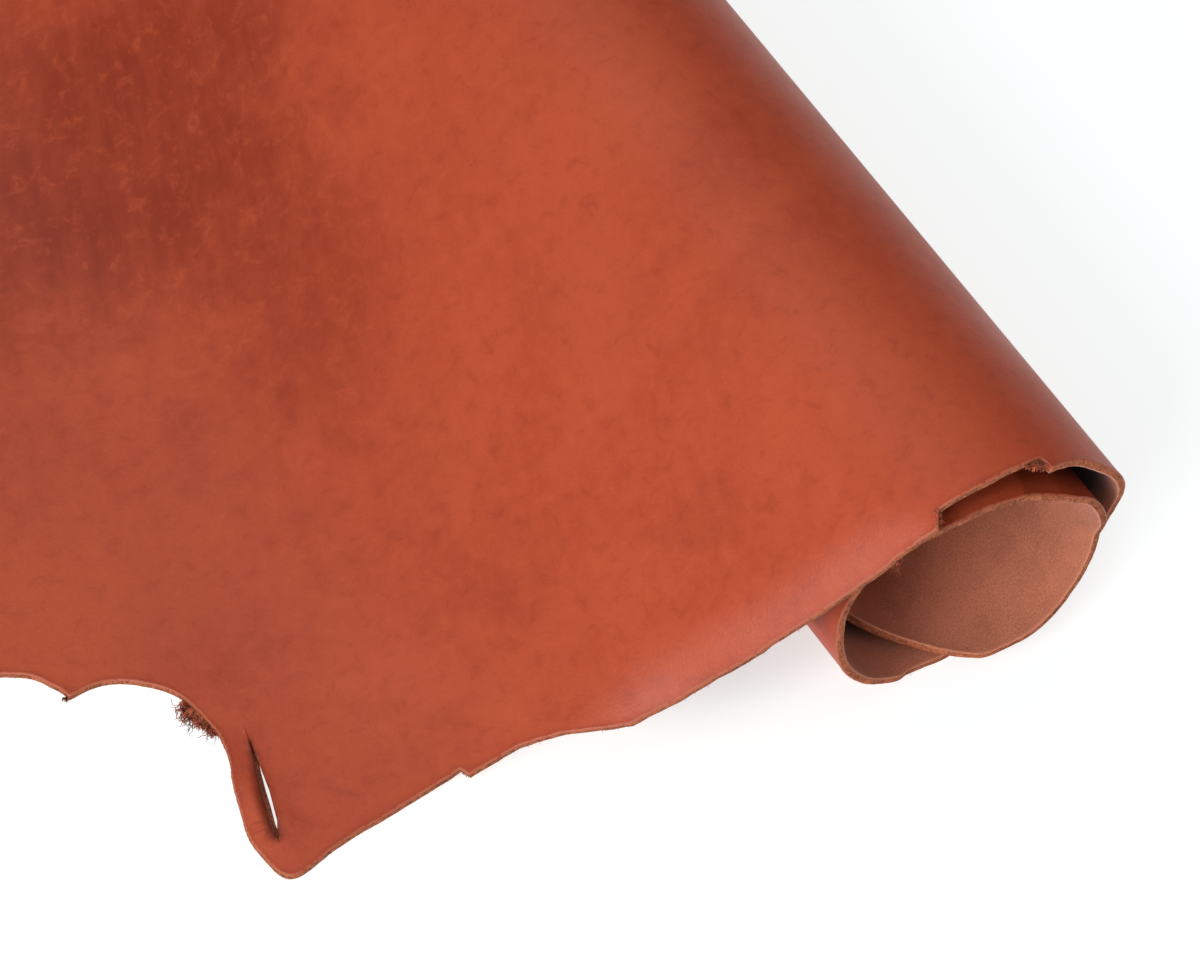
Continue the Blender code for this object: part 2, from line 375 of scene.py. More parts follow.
def beside(u, v, start, end):
    """Return how far a point is from a straight line, and where along it that is, from 0 to 1."""
    run = (end[0] - start[0], end[1] - start[1])
    along = ((u - start[0]) * run[0] + (v - start[1]) * run[1]) / (run[0] ** 2 + run[1] ** 2)
    along = min(max(along, 0.0), 1.0)
    return math.hypot(u - start[0] - run[0] * along, v - start[1] - run[1] * along), along


def belly_v(u):
    """Return the belly edge's v at this u, read straight between the outline's points."""
    for (u0, v0, _a), (u1, v1, _b) in zip(BELLY_EDGE, BELLY_EDGE[1:]):
        if u0 <= u <= u1:
            return v0 + (v1 - v0) * (u - u0) / (u1 - u0)
    return BELLY_EDGE[-1][1]


def turned_lip(u, v):
    """Return how far the slit's outer lip has turned down here, from 0 to 1 at the cut."""
    away = min(beside(u, v, a, b)[0] for a, b in zip(SLIT_LIP, SLIT_LIP[1:]))
    narrowing = min(1.0, 0.3 + 0.7 * max(0.0, (SLIT[0][1] - v) / LIP_TAPER))
    return max(0.0, 1 - away / (LIP_WIDTH * narrowing))


class Lay:
    """Carries a point of the flat hide to its place: table, slope, crest, outer and inner turn."""

    def __init__(self, sizes):
        middle = sizes.thickness / MM / 2
        turn = sizes.roll_radius / MM - middle
        inner = sizes.inner_radius / MM
        lean = sizes.roll_lean / MM
        slope_foot = sizes.slope_foot / MM
        crest_z = 2 * turn + middle
        inner_top = 2 * middle + sizes.layer_gap / MM + middle + 2 * inner
        reach = sizes.left_reach / MM
        shoulder = reach + lean
        heel = inner_top - middle - shoulder
        drop = crest_z - middle - (turn + slope_foot) * (1 - math.cos(sizes.slope_angle))
        self.thickness = 2 * middle
        self.turn = turn
        self.turned = turn * math.pi + reach - heel + heel * math.pi / 2
        self.slope = (
            ("crest", turn, sizes.slope_angle, 0),
            ("fall", 0, 0, drop / math.sin(sizes.slope_angle)),
            ("slope_foot", slope_foot, -sizes.slope_angle, 0),
            ("table", 0, 0, 2000),
        )
        self.landed = sum(length or radius * abs(angle) for _name, radius, angle, length in self.slope[:-1])
        self.wound = (
            ("right_side", turn, math.pi, 0),
            ("foot", 0, 0, reach - heel),
            ("heel", heel, math.pi / 2, 0),
            ("shoulder", shoulder, math.pi / 2, 0),
            ("inner_turn", inner, sizes.inner_turn, 0),
        )
        self.towards_neck = Profile(self.slope, crest_z, math.pi, -1)
        self.into_roll = Profile(self.wound, crest_z, 0.0, 1)
        low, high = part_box(NODE)
        self.datum = Vector((high.x / MM - sizes.roll_radius / MM, high.y / MM - BACKBONE_V, low.z / MM))

    def rise(self, u, v):
        """Return how far the sheet stands off its cross-section here, on its grain side."""
        height = 0.0
        for _name, centre_u, centre_v, half_u, half_v, top in RISES:
            away = math.hypot((u - centre_u) / half_u, (v - centre_v) / half_v)
            height += top * smooth_step(1 - away)
        for _name, start, end, ramp, width, drop in EDGE_CURLS:
            along = smooth_step((u - start) / ramp) * smooth_step((end - u) / ramp)
            inside = max(0.0, 1 - (v - belly_v(u)) / width) if along > 0 else 0.0
            height -= drop * along * inside * inside
        for _name, u0, v0, u1, v1, half_width, depth in CREASES:
            away, along = beside(u, v, (u0, v0), (u1, v1))
            if away < half_width:
                height -= depth * smooth_step(1 - away / half_width) * smooth_step(4 * along * (1 - along))
        return height - min(LIP_DROP, max(height, 0.0)) * turned_lip(u, v) ** 2

    def painted_shade(self, u, v, w):
        """Return the painted shade for a point deep in the gap between the turns, from 0 in the open to 1."""
        if w < 0:
            deep = min(v - belly_v(u), BACKBONE_V - v) if u < 60 else 0.0
            if u < -self.turned:
                shoulder = SHADE_SHOULDER * smooth_step(4 + u / 100)
                butt = SHADE_BUTT * smooth_step(-u / 90 - 5.6)
                return smooth_step(deep / 40) * (shoulder + butt)
            heel = smooth_step(-u / 40 - 4)
            return smooth_step((deep - 1 - 12 * heel) / (14 + 10 * heel))
        if u > -self.turned:
            return 0.0
        x, z, _x, _z = self.into_roll.at(-u)
        outer_u = -self.turn * math.atan2(x, z - self.turn)
        return smooth_step((min(v - belly_v(outer_u), BACKBONE_V - v) + SHADE_LEAD) / 26)

    def place(self, u, v, w):
        """Return where this point of the hide lies, w off the middle of the sheet, in metres."""
        x, z, normal_x, normal_z = self.towards_neck.at(u) if u >= 0 else self.into_roll.at(-u)
        w += self.rise(u, v)
        z = max(z + normal_z * w, TABLE_GAP)
        return (self.datum + Vector((x + normal_x * w, v, z))) * MM


# ---------------------------------------------------------------- cutting the flat hide


def drawn(rows, spacing):
    """Return the outline's points, with its round stretches filled in at this spacing."""
    points = []
    count = len(rows)
    for i, (u, v, kind) in enumerate(rows):
        start, end = Vector((u, v)), Vector(rows[(i + 1) % count][:2])
        next_kind = rows[(i + 1) % count][2]
        before = Vector(rows[i - 1][:2]) if kind == "round" else start
        after = end if next_kind == "sharp" else Vector(rows[(i + 2) % count][:2])
        steps = max(1, round((end - start).length / spacing(u)))
        if kind == "sharp" and next_kind == "sharp" and (end - start).length > 50:
            steps = 1
        for k in range(steps):
            t = k / steps
            lead_in = (end - before) / 2
            lead_out = (after - start) / 2
            points.append(
                start * (2 * t**3 - 3 * t**2 + 1)
                + end * (3 * t**2 - 2 * t**3)
                + lead_in * (t**3 - 2 * t**2 + t)
                + lead_out * (t**3 - t**2)
            )
    return points


def wander(point):
    """Return a small wandering vector for a point, the same one on every run."""
    noise.seed_set(WANDER_SEED)
    return noise.noise_vector(point)


def cut_outline():
    """Return the outline as the knife left it, with its small waver."""
    points = drawn(OUTLINE, lambda u: 2.0 if u < 350 else 8.0)
    wavered = []
    for point in points:
        slow = wander(Vector((point.x / 11, point.y / 11, 3.7)))
        quick = wander(Vector((point.x / 3.1, point.y / 3.1, 8.2)))
        wavered.append(point + (slow * 0.45 + quick * 0.22).to_2d())
    return wavered


def close_loop(bm, points):
    verts = [bm.verts.new((u, v, 0)) for u, v in points]
    return [bm.edges.new(pair) for pair in zip(verts, verts[1:] + verts[:1])]


def cut_lines(bm, axis, lines, low, high):
    """Cut the flat hide along lines square to this axis, between two values of u."""
    normal = Vector((1, 0, 0)) if axis == 0 else Vector((0, 1, 0))
    for line in lines:
        faces = []
        for face in bm.faces:
            across = [vert.co[axis] for vert in face.verts]
            if min(across) < line < max(across):
                if axis == 0 or low < face.calc_center_bounds().x < high:
                    faces.append(face)
        geom = list(dict.fromkeys(part for face in faces for part in (*face.verts, *face.edges))) + faces
        bmesh.ops.bisect_plane(bm, geom=geom, dist=1e-4, plane_co=normal * line, plane_no=normal)


def steps_between(start, end, step):
    count = max(1, round((end - start) / step))
    return [start + (end - start) * k / count for k in range(1, count)]


# ---------------------------------------------------------------- materials


def add_node(tree, kind, inputs=None, **settings):
    """Add a node with these settings, and fill or link its inputs."""
    node = tree.nodes.new(kind)
    for name, value in settings.items():
        setattr(node, name, value)
    for key, value in (inputs or {}).items():
        if isinstance(value, bpy.types.NodeSocket):
            tree.links.new(value, node.inputs[key])
        else:
            node.inputs[key].default_value = value
    return node


def maths(tree, operation, first, second=0.0, clamp=False):
    node = add_node(tree, "ShaderNodeMath", {0: first, 1: second}, operation=operation, use_clamp=clamp)
    return node.outputs[0]


def remap(tree, value, low, high, new_low=0.0, new_high=1.0, kind="SMOOTHSTEP"):
    """Carry a value from one range to another, held at both ends."""
    inputs = {"Value": value, "From Min": low, "From Max": high, "To Min": new_low, "To Max": new_high}
    return add_node(tree, "ShaderNodeMapRange", inputs, interpolation_type=kind).outputs[0]


def blended(tree, share, first, second, how="MIX"):
    """Mix two colours and return the mixed one."""
    inputs = {0: share, 6: first, 7: second}
    return add_node(tree, "ShaderNodeMix", inputs, data_type="RGBA", blend_type=how).outputs[2]


def noise_at(tree, vector, scale, detail=3.0, roughness=0.5, distortion=0.0):
    inputs = {"Vector": vector, "Scale": scale, "Detail": detail}
    inputs.update({"Roughness": roughness, "Distortion": distortion})
    return add_node(tree, "ShaderNodeTexNoise", inputs).outputs["Fac"]


def stretched(tree, vector, scale, turn=0.0):
    """Scale a vector unevenly, after turning it about Z."""
    inputs = {"Vector": vector, "Rotation": (0, 0, turn)}
    turned = add_node(tree, "ShaderNodeMapping", inputs, vector_type="POINT")
    return add_node(tree, "ShaderNodeMapping", {"Vector": turned.outputs[0], "Scale": scale}).outputs[0]


def new_group(name, sockets, result):
    """Return an empty node group with float or vector inputs and one float output."""
    group = bpy.data.node_groups.new(name, "ShaderNodeTree")
    for socket, kind, default in sockets:
        made = group.interface.new_socket(socket, in_out="INPUT", socket_type=kind)
        if kind == "NodeSocketFloat":
            made.default_value = default
    group.interface.new_socket(result, in_out="OUTPUT", socket_type="NodeSocketFloat")
    return group, group.nodes.new("NodeGroupInput").outputs, group.nodes.new("NodeGroupOutput").inputs


def clouding_group():
    """Soft clouds of several sizes, as a tanned hide takes its dye."""
    sockets = (
        ("Vector", "NodeSocketVector", None),
        ("Scale", "NodeSocketFloat", 5.0),
        ("Seed", "NodeSocketFloat", 0.0),
    )
    group, given, result = new_group("clouding", sockets, "Clouds")
    inputs = {0: given["Vector"], 1: given["Seed"]}
    moved = add_node(group, "ShaderNodeVectorMath", inputs, operation="ADD").outputs[0]
    broad = noise_at(group, moved, given["Scale"], 4.0, 0.55, 0.6)
    small = noise_at(group, moved, maths(group, "MULTIPLY", given["Scale"], 4.3), 5.0, 0.6, 0.9)
    group.links.new(
        maths(group, "ADD", maths(group, "MULTIPLY", broad, 0.68), maths(group, "MULTIPLY", small, 0.32)),
        result[0],
    )
    return group


def fibre_group():
    """Short matted fibres, as height, for the flesh side and the cut edge."""
    sockets = (("Vector", "NodeSocketVector", None), ("Scale", "NodeSocketFloat", 900.0))
    group, given, result = new_group("matted fibres", sockets, "Height")
    bent = add_node(group, "ShaderNodeTexNoise", {"Vector": given["Vector"], "Scale": 160.0, "Detail": 2.0})
    carried = add_node(
        group, "ShaderNodeVectorMath", {0: bent.outputs["Color"], 3: 0.004}, operation="SCALE"
    ).outputs[0]
    inputs = {0: given["Vector"], 1: carried}
    vector = add_node(group, "ShaderNodeVectorMath", inputs, operation="ADD").outputs[0]
    one_way = noise_at(group, stretched(group, vector, (1, 0.22, 1), 0.6), given["Scale"], 3.0, 0.6)
    other_way = noise_at(group, stretched(group, vector, (1, 0.25, 1), -0.9), given["Scale"], 3.0, 0.6)
    group.links.new(maths(group, "MAXIMUM", one_way, other_way), result[0])
    return group


def pebble_group():
    """Fine hair-cell grain: shallow cells with pores between them, as height."""
    sockets = (("Vector", "NodeSocketVector", None), ("Scale", "NodeSocketFloat", 900.0))
    group, given, result = new_group("hair cells", sockets, "Height")
    cells = add_node(
        group,
        "ShaderNodeTexVoronoi",
        {"Vector": given["Vector"], "Scale": given["Scale"]},
        feature="SMOOTH_F1",
    )
    creases = noise_at(group, given["Vector"], maths(group, "MULTIPLY", given["Scale"], 0.55), 4.0, 0.62, 0.8)
    group.links.new(
        maths(group, "ADD", maths(group, "MULTIPLY", cells.outputs["Distance"], -0.7), creases), result[0]
    )
    return group


def use_group(tree, group, **inputs):
    node = tree.nodes.new("ShaderNodeGroup")
    node.node_tree = group
    for name, value in inputs.items():
        if isinstance(value, bpy.types.NodeSocket):
            tree.links.new(value, node.inputs[name])
        else:
            node.inputs[name].default_value = value
    return node.outputs[0]


def new_material(name):
    """Return a material, its tree and its Principled shader."""
    material = bpy.data.materials.new(name)
    material.use_nodes = True
    tree = material.node_tree
    return material, tree, tree.nodes["Principled BSDF"]


def solid(colour):
    return (*colour, 1.0)


def tinted(tree, colour, pattern, between, share, tint):
    """Return the colour, mixed up to a share with a tint as the pattern goes between two values."""
    return blended(tree, remap(tree, pattern, *between, 0.0, share), colour, solid(tint))


def patch_mask(tree, flat, warp, centre, half_size, turn):
    """Return 1 in the middle of a soft patch of the hide, falling to 0 at its edge."""
    size = tuple(1 / (value * MM) for value in half_size)
    place = tuple(value * MM for value in centre)
    moved = add_node(tree, "ShaderNodeVectorMath", {0: flat, 1: (*place, 0)}, operation="SUBTRACT").outputs[0]
    moved = stretched(tree, moved, (*size, 0), math.radians(turn))
    away = add_node(tree, "ShaderNodeVectorMath", {0: moved}, operation="LENGTH").outputs["Value"]
    return remap(tree, maths(tree, "ADD", away, warp), 1.5, 0.35)


def shaded(tree, colour, share):
    """Return the colour, darkened and browned by painted shade deep in the roll's gaps and down the slit's
    turned lip.
    """
    deep = add_node(tree, "ShaderNodeAttribute", attribute_name="painted_shade").outputs["Fac"]
    return blended(tree, maths(tree, "MULTIPLY", deep, share), colour, solid(SHADE_COLOUR))


def grain_side(colours, groups):
    """Smooth waxed grain: clouded dye, fine cells and pores, faint scratches, a painted highlight on the
    arris, painted shade deep in the roll.
    """
    material, tree, shader = new_material("grain_side")
    flat = add_node(tree, "ShaderNodeUVMap", uv_map="flat_hide").outputs[0]
    clouds = use_group(tree, groups["clouding"], Vector=flat, Scale=6.0, Seed=2.3)
    blotches = use_group(tree, groups["clouding"], Vector=flat, Scale=21.0, Seed=7.1)
    colour = solid(colours.tan)
    colour = tinted(tree, colour, clouds, (0.50, 0.34), 0.24, colours.dark)
    colour = tinted(tree, colour, clouds, (0.48, 0.66), 0.5, colours.light)
    colour = tinted(tree, colour, blotches, (0.50, 0.34), 0.2, colours.dark)
    colour = tinted(tree, colour, blotches, (0.50, 0.66), 0.35, colours.light)
    warp = remap(tree, blotches, 0.3, 0.7, -0.3, 0.3, "LINEAR")
    for _name, u, v, half_u, half_v, turn, tone, share in PATCHES:
        mask = patch_mask(tree, flat, warp, (u, v), (half_u, half_v), turn)
        tone = getattr(colours, tone)
        colour = blended(tree, maths(tree, "MULTIPLY", mask, share), colour, solid(tone))

    pores = add_node(tree, "ShaderNodeTexVoronoi", {"Vector": flat, "Scale": 720.0, "Randomness": 1.0})
    pore = remap(tree, pores.outputs["Distance"], 0.20, 0.05)
    colour = blended(tree, maths(tree, "MULTIPLY", pore, 0.16), colour, solid(colours.dark))
    mottle = noise_at(tree, flat, 130.0, 5.0, 0.72, 0.5)
    colour = tinted(tree, colour, mottle, (0.50, 0.30), 0.3, colours.dark)
    colour = tinted(tree, colour, mottle, (0.50, 0.70), 0.42, colours.light)
    specks = add_node(tree, "ShaderNodeTexVoronoi", {"Vector": flat, "Scale": 95.0, "Randomness": 1.0})
    speck = remap(tree, maths(tree, "ADD", specks.outputs["Distance"], mottle), 0.44, 0.36)
    colour = blended(tree, maths(tree, "MULTIPLY", speck, 0.22), colour, solid(colours.dark))
    brushed = noise_at(tree, stretched(tree, flat, (30, 120, 1), 1.15), 1.0, 5.0, 0.65)
    colour = tinted(tree, colour, brushed, (0.36, 0.68), 0.2, colours.light)

    scratches = noise_at(tree, stretched(tree, flat, (14, 460, 1), 0.5), 1.0, 3.0, 0.55, 0.35)
    scratch_zone = remap(tree, noise_at(tree, flat, 11.0, 2.0), 0.46, 0.58)
    scratch = maths(tree, "MULTIPLY", remap(tree, scratches, 0.70, 0.76), scratch_zone)
    colour = blended(tree, maths(tree, "MULTIPLY", scratch, 0.34), colour, solid(colours.light))

    edge = add_node(tree, "ShaderNodeAttribute", attribute_name="edge_distance").outputs["Fac"]
    bruise = maths(tree, "ADD", edge, maths(tree, "MULTIPLY", noise_at(tree, flat, 90.0, 3.0), 3.0))
    colour = tinted(tree, colour, bruise, (4.6, 1.6), 0.3, colours.dark)
    # Painted highlight: the grain side's rounded arris is paler along the cut.
    colour = tinted(tree, colour, edge, (1.0, 0.4), 0.34, colours.pale_arris)
    # Painted shade deep in the roll's gaps and down the slit's turned lip.
    tree.links.new(shaded(tree, colour, 0.86), shader.inputs["Base Color"])

    rough = remap(tree, noise_at(tree, flat, 22.0, 4.0, 0.6), 0.3, 0.7, 0.38, 0.48, "LINEAR")
    tree.links.new(rough, shader.inputs["Roughness"])
    along = add_node(tree, "ShaderNodeSeparateXYZ", {0: flat}).outputs["X"]
    tree.links.new(remap(tree, along, -0.03, 0.03, 0.14, 0.32), shader.inputs["Specular IOR Level"])
    cells = use_group(tree, groups["hair cells"], Vector=flat, Scale=1150.0)
    height = maths(tree, "SUBTRACT", cells, maths(tree, "MULTIPLY", pore, 0.5))
    height = maths(tree, "SUBTRACT", height, maths(tree, "MULTIPLY", scratch, 0.8))
    fine = add_node(tree, "ShaderNodeBump", {"Height": height, "Strength": 0.5, "Distance": 0.00018})
    folds = noise_at(tree, flat, 40.0, 4.0, 0.55, 0.6)
    inputs = {"Height": folds, "Strength": 0.2, "Distance": 0.001, "Normal": fine.outputs[0]}
    bump = add_node(tree, "ShaderNodeBump", inputs)
    tree.links.new(bump.outputs[0], shader.inputs["Normal"])
    return material


def flesh_side(colours, groups):
    """Napped flesh side: fine suede speckle, brushed patches, paler where the arris rubs, painted shade deep
    in the roll.
    """
    material, tree, shader = new_material("flesh_side")
    flat = add_node(tree, "ShaderNodeUVMap", uv_map="flat_hide").outputs[0]
    clouds = use_group(tree, groups["clouding"], Vector=flat, Scale=26.0, Seed=4.4)
    fibres = use_group(tree, groups["matted fibres"], Vector=flat, Scale=1500.0)
    speckle = noise_at(tree, flat, 1250.0, 2.0, 0.6)
    dark = tuple(0.5 * value for value in colours.flesh)
    light = tuple(min(1.0, 1.35 * value) for value in colours.flesh)
    colour = tinted(tree, solid(colours.flesh), clouds, (0.56, 0.36), 0.4, dark)
    colour = tinted(tree, colour, clouds, (0.50, 0.68), 0.3, light)
    colour = tinted(tree, colour, speckle, (0.52, 0.70), 0.6, light)
    colour = tinted(tree, colour, speckle, (0.48, 0.30), 0.55, dark)
    colour = tinted(tree, colour, fibres, (0.58, 0.78), 0.3, light)
    edge = add_node(tree, "ShaderNodeAttribute", attribute_name="edge_distance").outputs["Fac"]
    pale_arris = maths(tree, "ADD", edge, maths(tree, "MULTIPLY", noise_at(tree, flat, 300.0, 3.0), 1.2))
    colour = tinted(tree, colour, pale_arris, (2.9, 1.0), 0.6, colours.pale_arris)
    # Painted shade deep in the roll's gaps and down the slit's turned lip.
    tree.links.new(shaded(tree, colour, 0.92), shader.inputs["Base Color"])
    shader.inputs["Roughness"].default_value = 0.95
    shader.inputs["Specular IOR Level"].default_value = 0.15
    shader.inputs["Sheen Weight"].default_value = 0.12
    shader.inputs["Sheen Roughness"].default_value = 0.6
    height = maths(tree, "ADD", maths(tree, "MULTIPLY", speckle, 0.8), fibres)
    bump = add_node(tree, "ShaderNodeBump", {"Height": height, "Strength": 0.5, "Distance": 0.0004})
    tree.links.new(bump.outputs[0], shader.inputs["Normal"])
    return material


def cut_edge(colours, groups):
    """Raw cut edge: packed fibres end on, with dark gaps between them."""
    material, tree, shader = new_material("cut_edge")
    place = add_node(tree, "ShaderNodeTexCoord").outputs["Object"]
    clouds = use_group(tree, groups["clouding"], Vector=place, Scale=110.0, Seed=1.6)
    fibres = use_group(tree, groups["matted fibres"], Vector=place, Scale=1300.0)
    grit = noise_at(tree, place, 900.0, 3.0, 0.65)
    dark = tuple(0.35 * value for value in colours.cut)
    light = tuple(min(1.0, 1.6 * value) for value in colours.cut)
    colour = tinted(tree, solid(colours.cut), clouds, (0.58, 0.38), 0.6, dark)
    colour = tinted(tree, colour, grit, (0.50, 0.34), 0.8, dark)
    colour = tinted(tree, colour, grit, (0.52, 0.68), 0.7, light)
    colour = tinted(tree, colour, fibres, (0.56, 0.74), 0.5, light)
    tree.links.new(colour, shader.inputs["Base Color"])
    shader.inputs["Roughness"].default_value = 0.9
    shader.inputs["Specular IOR Level"].default_value = 0.2
    height = maths(tree, "ADD", grit, fibres)
    bump = add_node(tree, "ShaderNodeBump", {"Height": height, "Strength": 0.9, "Distance": 0.0005})
    tree.links.new(bump.outputs[0], shader.inputs["Normal"])
    return material


def loose_fibre(name, tone, groups):
    """Loose strands of hide fibre, some paler than others."""
    material, tree, shader = new_material(name)
    place = add_node(tree, "ShaderNodeTexCoord").outputs["Object"]
    clouds = use_group(tree, groups["clouding"], Vector=place, Scale=420.0, Seed=3.2)
    dark = tuple(0.22 * value for value in tone)
    pale = tuple(min(1.0, 1.8 * value) for value in tone)
    colour = blended(tree, remap(tree, clouds, 0.54, 0.40), solid(tone), solid(dark))
    colour = blended(tree, remap(tree, clouds, 0.52, 0.66), colour, solid(pale))
    tree.links.new(colour, shader.inputs["Base Color"])
    shader.inputs["Roughness"].default_value = 0.85
    shader.inputs["Specular IOR Level"].default_value = 0.2
    return material


def table_top(slope_shadow):
    """Plain white table, lit a little from within so that shadows on it stay pale, with a painted shadow
    under the slope.
    """
    material, tree, shader = new_material("table_top")
    place = add_node(tree, "ShaderNodeTexCoord").outputs["Object"]
    tone = remap(tree, noise_at(tree, place, 3.0, 2.0), 0.3, 0.7, 0.46, 0.48, "LINEAR")
    red = maths(tree, "MULTIPLY", tone, 0.87)
    colour = add_node(tree, "ShaderNodeCombineColor", {0: red, 1: tone, 2: tone}).outputs[0]
    tree.links.new(colour, shader.inputs["Base Color"])
    shader.inputs["Roughness"].default_value = 0.9
    shader.inputs["Specular IOR Level"].default_value = 0.2
    shader.inputs["Emission Color"].default_value = (1, 1, 1, 1)
    flat = add_node(tree, "ShaderNodeVectorMath", {0: place, 1: (1, 1, 0)}, operation="MULTIPLY").outputs[0]
    # Painted shadow: the table's glow is turned down in a soft patch under the slope.
    shadow_mask = patch_mask(tree, flat, 0.0, slope_shadow, SLOPE_SHADOW_HALF, 0)
    tree.links.new(remap(tree, shadow_mask, 0.0, 1.0, 0.70, 0.56, "LINEAR"), shader.inputs["Emission Strength"])
    return material


def shared_groups():
    """Build each shared node group once."""
    makers = {"clouding": clouding_group, "matted fibres": fibre_group, "hair cells": pebble_group}
    return {name: bpy.data.node_groups.get(name) or make() for name, make in makers.items()}


# ---------------------------------------------------------------- pieces


def round_arris(bm):
    """Inset narrow borders round the cut. Each point's height is how far the arris drops there."""
    rim = set(bm.verts)
    for width, drop in ARRIS:
        before = set(bm.verts)
        faces = [face for face in bm.faces if len(face.verts) > 4]
        bmesh.ops.inset_region(bm, faces=faces, use_boundary=True, use_even_offset=True, thickness=width)
        for vert in rim:
            vert.co.z = drop
        rim = set(bm.verts) - before


def roughen_cut(bm, thickness):
    """Split the cut's wall into rows, name its material and pull its fibres in and out a little."""
    walls = []
    for face in bm.faces:
        heights = [vert.co.z for vert in face.verts]
        if max(heights) - min(heights) > thickness / 2:
            walls.append(face)
    for face in walls:
        face.material_index = MATERIALS.index("cut_edge")
    upright = dict.fromkeys(
        edge
        for face in walls
        for edge in face.edges
        if abs(edge.verts[0].co.z - edge.verts[1].co.z) > 1
    )
    divided = bmesh.ops.subdivide_edges(bm, edges=list(upright), cuts=WALL_ROWS, use_grid_fill=True)
    split = divided["geom_inner"]
    for vert in split:
        if isinstance(vert, bmesh.types.BMVert):
            torn = wander(vert.co * 1.1) * 0.42 + wander(vert.co * 0.31) * 0.3
            torn *= smooth_step(slit_distance(vert.co) / SLIT_REACH - 0.3)
            vert.co += Vector((torn.x, torn.y, torn.z * 0.5))


def slit_distance(point):
    """Return how far a point of the flat hide is from the slit's middle line."""
    return beside(point.x, point.y, SLIT[0][:2], SLIT[5][:2])[0]


def lean_slit(bm, thickness):
    """Lean the slit's walls towards the roll, as a slanting knife cuts them."""
    for vert in bm.verts:
        away = slit_distance(vert.co)
        if vert.co.z < 0 and away < SLIT_REACH:
            vert.co.x += SLIT_LEAN * smooth_step(1.6 - 1.6 * away / SLIT_REACH) * 2 * vert.co.z / thickness


def hide_mesh(lay):
    """Return the hide, cut from the flat with rounded arrises and given its thickness."""
    bm = bmesh.new()
    edges = close_loop(bm, cut_outline()) + close_loop(bm, SLIT)
    bmesh.ops.triangle_fill(bm, edges=edges, use_beauty=False, use_dissolve=False)
    inner = [edge for edge in bm.edges if not edge.is_boundary]
    bmesh.ops.dissolve_edges(bm, edges=inner, use_verts=False)
    round_arris(bm)

    cut_lines(bm, 0, bend_lines(lay), 0, 0)
    for start, end, step, low, high in CROSS_LINES:
        cut_lines(bm, 1, [start, *steps_between(start, end, step), end], low, high)

    for face in bm.faces:
        face.material_index = MATERIALS.index("flesh_side")
    flesh = list(bm.verts)
    extruded = bmesh.ops.extrude_face_region(bm, geom=list(bm.faces), use_keep_orig=True)["geom"]
    for part in extruded:
        if isinstance(part, bmesh.types.BMVert):
            part.co.z = lay.thickness / 2 - part.co.z
        if isinstance(part, bmesh.types.BMFace):
            part.material_index = MATERIALS.index("grain_side")
    for vert in flesh:
        vert.co.z -= lay.thickness / 2
    roughen_cut(bm, lay.thickness)
    lean_slit(bm, lay.thickness)
    return bm


def bend_lines(lay):
    """Return the u of every line across the hide."""
    lines = {0.0}
    for stretches, side in ((lay.slope[:-1], 1), (lay.wound, -1)):
        walked = 0.0
        for _name, radius, turn, length in stretches:
            length = length or radius * abs(turn)
            step = 3.0 if 0 < radius < 100 else 6.0
            lines.update(side * (walked + part) for part in steps_between(0, length, step))
            walked += length
            lines.add(side * walked)
        if side > 0:
            lines.update(steps_between(walked, 265, 6))
            lines.update([265, *steps_between(265, 284, 2.5), 284, *steps_between(284, 294, 1.2), 294])
            lines.update([*steps_between(294, 420, 7), 420, *steps_between(420, 1330, 15)])
    return sorted(lines)


def strands_mesh(name, strands):
    """Return a mesh of thin tapered tubes, one along each list of (point, radius)."""
    curve = bpy.data.curves.new(name, "CURVE")
    curve.dimensions = "3D"
    curve.bevel_depth = 1.0
    curve.bevel_resolution = 0
    curve.use_fill_caps = True
    for strand in strands:
        spline = curve.splines.new("POLY")
        spline.points.add(len(strand) - 1)
        for point, (place, radius) in zip(spline.points, strand):
            point.co = (*place, 1)
            point.radius = radius * MM
    drawn_curve = bpy.data.objects.new(name + "_curve", curve)
    mesh = bpy.data.meshes.new_from_object(drawn_curve)
    bpy.data.objects.remove(drawn_curve)
    bpy.data.curves.remove(curve)
    mesh.name = name
    mesh.shade_smooth()
    return mesh


def grown(rng, lay, root, heading, length, radius, curl, steps):
    """Return a strand of hide fibre that wanders from its root: a list of (point, radius)."""
    (u, v, w), straight = root, heading
    lift, floor = rng.uniform(-0.4, 0.25), -lay.thickness / 2 + radius
    strand = []
    for k in range(steps + 1):
        held = min(max(w, floor), 0.2 * lay.thickness) if u > lay.landed else w
        strand.append((lay.place(u, v, held), radius * (1 - (1 - TIP) * k / steps)))
        heading = straight + STRAIGHTENING * (heading - straight) + rng.gauss(0, curl)
        lift += rng.gauss(0, curl * 0.6)
        u += math.cos(heading) * length / steps
        v += math.sin(heading) * length / steps
        w += math.sin(lift) * length / steps
    return strand


def add_piece(context, name, mesh, material):
    mesh.materials.clear()
    mesh.materials.append(material)
    piece = bpy.data.objects.new(name, mesh)
    context.scene.collection.objects.link(piece)
    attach(piece, BODY)
    return piece


